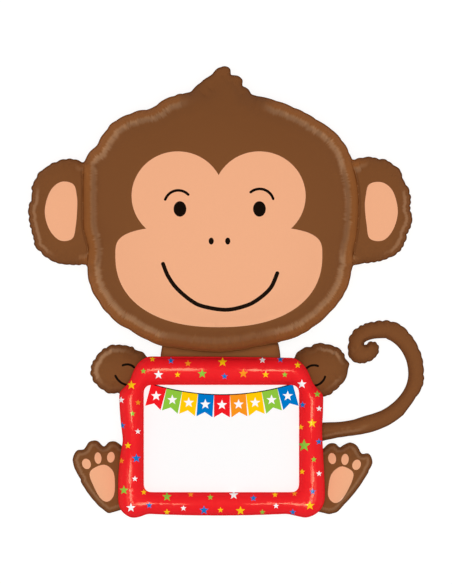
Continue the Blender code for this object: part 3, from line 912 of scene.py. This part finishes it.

# Frame with its printed stars, placed by pixels read off the photo

frameStars = {
    "small": {
        "gold": [(152.5, 359), (177.6, 374.6), (143.9, 492), (220.5, 509.8), (275, 494.5), (302, 471.6),
                 (300.7, 427)],
        "orange": [(138.2, 402.4), (121.5, 460.7), (190.7, 494.2), (294.4, 493.4)],
        "white": [(138, 431.4), (135, 478.6), (183.5, 508), (276, 505.7), (319, 473.4), (319, 408.5)],
        "green": [(143.5, 371), (284.7, 374.5), (132.6, 413.5), (210.3, 497), (262.4, 512),
                  (313.7, 459.3)],
    },
    "medium": {
        "gold": [(297.6, 365), (265.6, 374.5), (128, 445.4), (167, 512)],
        "blue": [(171, 360.6), (280.3, 359.4), (224.5, 376.2), (122.2, 425.4), (149.3, 505),
                 (253.4, 498), (292.7, 512), (312.6, 491.3), (318.8, 441.6), (302.5, 404.7)],
        "orange": [(188, 363.4)],
        "white": [(262.4, 360), (121.2, 400)],
        "green": [(317.2, 394)],
    },
    "large": {
        "gold": [(222.6, 362), (131.4, 385), (240.5, 510.6), (309.8, 505.3), (312, 423)],
        "blue": [(136.5, 458.2), (204, 510)],
        "orange": [(243.3, 373.4)],
        "white": [(158.6, 374.6), (301.8, 384), (131, 507.5), (233.7, 494.7)],
        "green": [(202.2, 373.6), (124, 490), (167, 496.5)],
    },
    "huge": {
        "green": [(304, 445.4)],
    },
}
starReach = {"small": 7, "medium": 8, "large": 11, "huge": 15}   # mm from the middle to a tip
ring = ((22, 44), 0.25, 0.5, 8)
frameAreas = [stretch(at, reach, ring, sheen) for at, reach, sheen in (
    ((-125, -150), 70, (28, 6.5, 1, 0)), ((105, -150), 62, (28, 6.5, 1, 0)),
    ((-235, -260), 45, (25, 6.5, 1, 0)), ((215, -260), 45, (25, 6.5, 1, 0)),
    ((-165, -440), 95, (25, 6.5, 1, 0)), ((135, -440), 100, (25, 6.5, 1, 0)),
    ((0, 0), None, (25, 5.5, 0, 0)))]
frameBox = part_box("frame_balloon")
frameSeam = (frameBox[0].z + frameBox[1].z) / 2


def starPrint():
    prints = []
    for size, colours in frameStars.items():
        for colour, spots in colours.items():
            places = [(*fromPhoto(spot), starReach[size]) for spot in spots]
            loops = starLoops(f"{size}_{colour}", places, stars, starSockets, redFilm)
            prints += [(colour, loop) for loop in loops]
    return prints


frameFilm = inflatedFilm("frameFilm", "frame_balloon", calmSeams("frame_balloon", frameSeam, 2, 10),
                         starPrint(), "red", frameSeam, frameAreas, seed=37, rounds=12)
frameFilm.data.materials.append(redFilm)
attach(frameFilm, "root")
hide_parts("frame_balloon")

# Write-on panel with a row of pennants on a string

bunting = {
    "centre": (-8, 298), "radius": 530, "start": -107.7, "end": -72.3, "stringWidth": 2.2,
    "width": 35.8, "length": 51.0, "notch": 10.5,
    "colours": ("red", "green", "gold", "blue", "red", "orange", "gold", "green", "blue"),
    "mark": 12.0, "markDrop": 23.0, "inset": 0.006,   # the inset is a share of the string
}


def pennantMesh():
    half, length, notch = bunting["width"] / 2 * mm, bunting["length"] * mm, bunting["notch"] * mm
    corners = [(-half, 0), (-half, -length), (0, notch - length), (half, -length), (half, 0)]
    mesh = bpy.data.meshes.new("pennant")
    mesh.from_pydata([(x, y, 0) for x, y in corners], [], [range(len(corners))])
    return mesh


def buntingPrint():
    string = arcLine(bunting["centre"], bunting["radius"], bunting["start"], bunting["end"], step=6)
    path = bpy.data.meshes.new("string")
    steps = [(k, k + 1) for k in range(len(string) - 1)]
    path.from_pydata([(x * mm, y * mm, 0) for x, y in string], steps, [])
    pennant = bpy.data.objects.new("pennant", pennantMesh())
    scene.collection.objects.link(pennant)
    count = len(bunting["colours"])
    loops = grownLoops("pennants", path, pennants, pennantSockets, {
        "Count": count, "Margin": 0.5 / count + bunting["inset"], "Pennant": pennant, "Film": whiteFilm})
    bpy.data.objects.remove(pennant, do_unlink=True)
    prints = list(zip(bunting["colours"], loops))
    marks = []
    for loop in loops:
        top = (loop[0] + loop[-1]) / 2
        down = (loop[1] - loop[0]) / np.hypot(*(loop[1] - loop[0]))
        spot = top / mm + down * bunting["markDrop"]
        marks.append((spot[0], spot[1], bunting["mark"]))
    prints += [("white", loop) for loop in starLoops("marks", marks, stars, starSockets, whiteFilm)]
    prints.append(("black", strokeLoop(string, bunting["stringWidth"])))
    return prints


def flatFilm(name, node, prints):
    low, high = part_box(node)
    seam = (low.z + high.z) / 2
    edge = calmLoop(evenLoop(seamLoops(node, seam)[0], plan["edgeStep"] * mm), 2)
    spread, faces, middles = layOut([edge], prints, [])
    pairs, uses = edgePairs(faces)
    rim = np.zeros(len(spread), bool)
    rim[np.unique(pairs[uses == 1])] = True
    half = (high.z - low.z) / 2
    heights = (np.where(rim, seam, seam + half), np.full(len(spread), seam - half))
    distance, spot, _, _ = nearestSeam(spread, [edge])
    return closedFilm(name, (spread, faces, middles), rim, heights, prints, "white",
                      {"seamSpot": np.column_stack([spot, distance])})


panelFilm = flatFilm("panelFilm", "write_on_panel", buntingPrint())
panelFilm.data.materials.append(whiteFilm)
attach(panelFilm, "root")
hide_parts("write_on_panel")

# Floor, light and camera

studio = {
    "floor": 30.0, "floorGlow": 0.86, "floorColour": 0.16, "dome": 0.46, "overhead": 1.78,
    "sunWidth": 18, "cameraPlace": (0.0011, -0.0011), "cameraHeight": 40.0, "focusHeight": 0.10,
    "viewLength": photo["height"] * photo["pixel"] * mm, "sensor": 36.0, "floorDrop": 0.001,
}


def makeFloor():
    material = bpy.data.materials.new("paleFloor")
    material.use_nodes = True
    shader = material.node_tree.nodes["Principled BSDF"]
    shader.inputs["Base Color"].default_value = (*(studio["floorColour"],) * 3, 1)
    shader.inputs["Roughness"].default_value = 0.9
    shader.inputs["Emission Color"].default_value = (1, 1, 1, 1)
    shader.inputs["Emission Strength"].default_value = studio["floorGlow"]
    half, low = studio["floor"] / 2, -studio["floorDrop"]
    corners = [(-half, -half, low), (half, -half, low), (half, half, low), (-half, half, low)]
    mesh = bpy.data.meshes.new("floor")
    mesh.from_pydata(corners, [], [(0, 1, 2, 3)])
    mesh.materials.append(material)
    floor = bpy.data.objects.new("floor", mesh)
    scene.collection.objects.link(floor)
    floor.visible_glossy = False


def softbox(name, place, target, width, height, colour, power):  # only gloss shows it
    light = bpy.data.lights.new(name, "AREA")
    light.shape = "RECTANGLE"
    light.size, light.size_y = width, height
    light.color, light.energy = colour, power
    box = bpy.data.objects.new(name, light)
    box.location = place
    aim = Vector(target) - Vector(place)
    box.rotation_euler = aim.to_track_quat("-Z", "Y").to_euler()
    box.visible_camera = box.visible_diffuse = False
    scene.collection.objects.link(box)


def makeLights():
    world = bpy.data.worlds.new("studio")
    world.use_nodes = True
    world.node_tree.nodes["Background"].inputs["Color"].default_value = (1, 1, 1, 1)
    world.node_tree.nodes["Background"].inputs["Strength"].default_value = studio["dome"]
    world.cycles_visibility.glossy = False
    scene.world = world
    sky = bpy.data.lights.new("overhead", "SUN")
    sky.energy, sky.angle = studio["overhead"], math.radians(studio["sunWidth"])
    overhead = bpy.data.objects.new("overhead", sky)
    overhead.location = (0, 0, 3)
    overhead.visible_glossy = False
    scene.collection.objects.link(overhead)
    warmLight, paleLight = (1.0, 0.64, 0.36), (1.0, 0.95, 0.55)
    for side in (-1, 1):
        softbox(f"wall{side}", (side * 0.80, 0.0, 0.50), (0, 0.0, 0.50), 2.0, 1.0, warmLight, 14.0)
        softbox(f"skirt{side}", (side * 0.62, 0.0, 0.004), (side * 0.62, 0.0, 1), 0.4, 2.0, warmLight, 5.6)
    softbox("frontWall", (0, -1.0, 0.28), (0, 0, 0.28), 1.4, 0.40, warmLight, 4.0)
    softbox("ceiling", (0, -0.33, 0.80), (0, -0.33, 0), 0.95, 0.80, paleLight, 20.0)


def makeCamera():
    lens = bpy.data.cameras.new("photoCamera")
    lens.sensor_width = studio["sensor"]
    distance = studio["cameraHeight"] - studio["focusHeight"]
    lens.lens = studio["sensor"] * distance / studio["viewLength"]
    lens.clip_start, lens.clip_end = 0.5, 200
    camera = bpy.data.objects.new("photoCamera", lens)
    camera.location = (*studio["cameraPlace"], studio["cameraHeight"])
    scene.collection.objects.link(camera)
    scene.camera = camera


makeFloor()
makeLights()
makeCamera()
scene.view_settings.view_transform = "Standard"
print("stage, lights and camera made")
